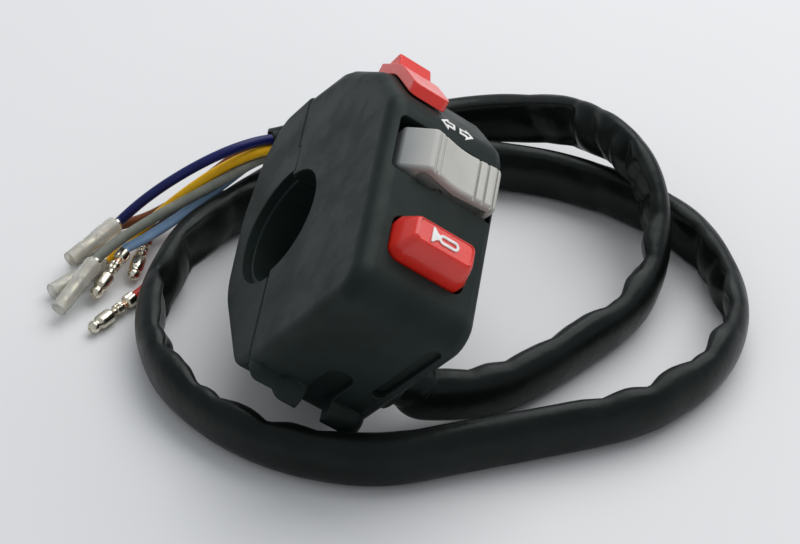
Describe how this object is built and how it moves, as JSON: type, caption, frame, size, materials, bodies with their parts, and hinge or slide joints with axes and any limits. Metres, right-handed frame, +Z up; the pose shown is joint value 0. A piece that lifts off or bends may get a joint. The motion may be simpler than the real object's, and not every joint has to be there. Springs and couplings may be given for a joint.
{
  "type": "handlebar switch cluster",
  "caption": "Left-hand handlebar switch cluster: split clamp housing with a turn rocker, horn button, light slider, sleeved loom and coloured leads with bullet terminals.",
  "frame": {"origin": "on the bench under the middle of the housing and its controls, cables left out", "axes": "+Z up from the bench, +Y away from the viewer along the housing's long side, +X to the right; the bar axis dips to the right in the X-Z plane"},
  "size_m": [0.1338, 0.1076, 0.0551],
  "materials": {
    "shell": "fine-grained moulded black plastic",
    "inner_black": "plain moulded black plastic",
    "rocker_grey": "satin light grey plastic",
    "button_red": "glossy red plastic",
    "mark_white": "white printed mark",
    "steel": "plated steel",
    "brass": "turned brass",
    "contact": "copper alloy",
    "sleeve_black": "shiny soft black vinyl sleeve",
    "clear_boot": "milky clear soft plastic",
    "lead_navy": "dark blue insulation",
    "lead_yellow": "yellow insulation",
    "lead_grey": "grey insulation",
    "lead_sky": "light blue insulation",
    "lead_brown": "brown insulation",
    "lead_black": "black insulation",
    "lead_red": "red insulation"
  },
  "bodies": {
    "housing_body": {"front_housing": "shell", "rear_housing": "shell", "turn_base": "inner_black", "horn_base": "inner_black", "light_base": "inner_black", "cable_gland": "inner_black", "turn_arrows": "mark_white", "clamp_screws": "steel", "base_screws": "steel", "rocker_pin": "steel", "horn_spring": "steel", "navy_bullet": "steel", "yellow_bullet": "steel", "grey_bullet": "steel", "sky_bullet": "steel", "brown_bullet": "steel", "black_bullet": "steel", "red_bullet": "steel", "screw_inserts": "brass", "turn_contacts": "contact", "horn_contacts": "contact", "light_contacts": "contact", "sleeve": "sleeve_black", "navy_boot": "clear_boot", "yellow_boot": "clear_boot", "grey_boot": "clear_boot", "navy_lead": "lead_navy", "yellow_lead": "lead_yellow", "grey_lead": "lead_grey", "sky_lead": "lead_sky", "brown_lead": "lead_brown", "black_lead": "lead_black", "red_lead": "lead_red"},
    "rocker_body": {"turn_rocker": "rocker_grey", "rocker_plunger": "brass", "rocker_spring": "steel"},
    "horn_body": {"horn_button": "button_red", "horn_symbol": "mark_white", "horn_contact_disc": "contact", "horn_clip": "steel"},
    "slider_body": {"light_slider": "button_red", "slider_carriage": "inner_black", "slider_ball": "steel", "slider_spring": "steel", "slider_bridge": "contact"}
  },
  "joints": [
    {"name": "rocker_tilt", "type": "hinge", "parent": "housing_body", "child": "rocker_body", "pos_m": [0.01345, -0.00389, 0.04363], "axis": [-0.176, -0.9563, -0.2335], "range_deg": [-8, 8]},
    {"name": "horn_press", "type": "slide", "parent": "housing_body", "child": "horn_body", "axis": [-0.5755, 0.2924, -0.7637], "range_m": [0, 0.002], "stiffness_N_per_m": 500, "springref_m": -0.002, "deforming": ["horn_spring"]},
    {"name": "light_slide", "type": "slide", "parent": "housing_body", "child": "slider_body", "axis": [0.7986, 0, -0.6018], "range_m": [0, 0.003]}
  ]
}
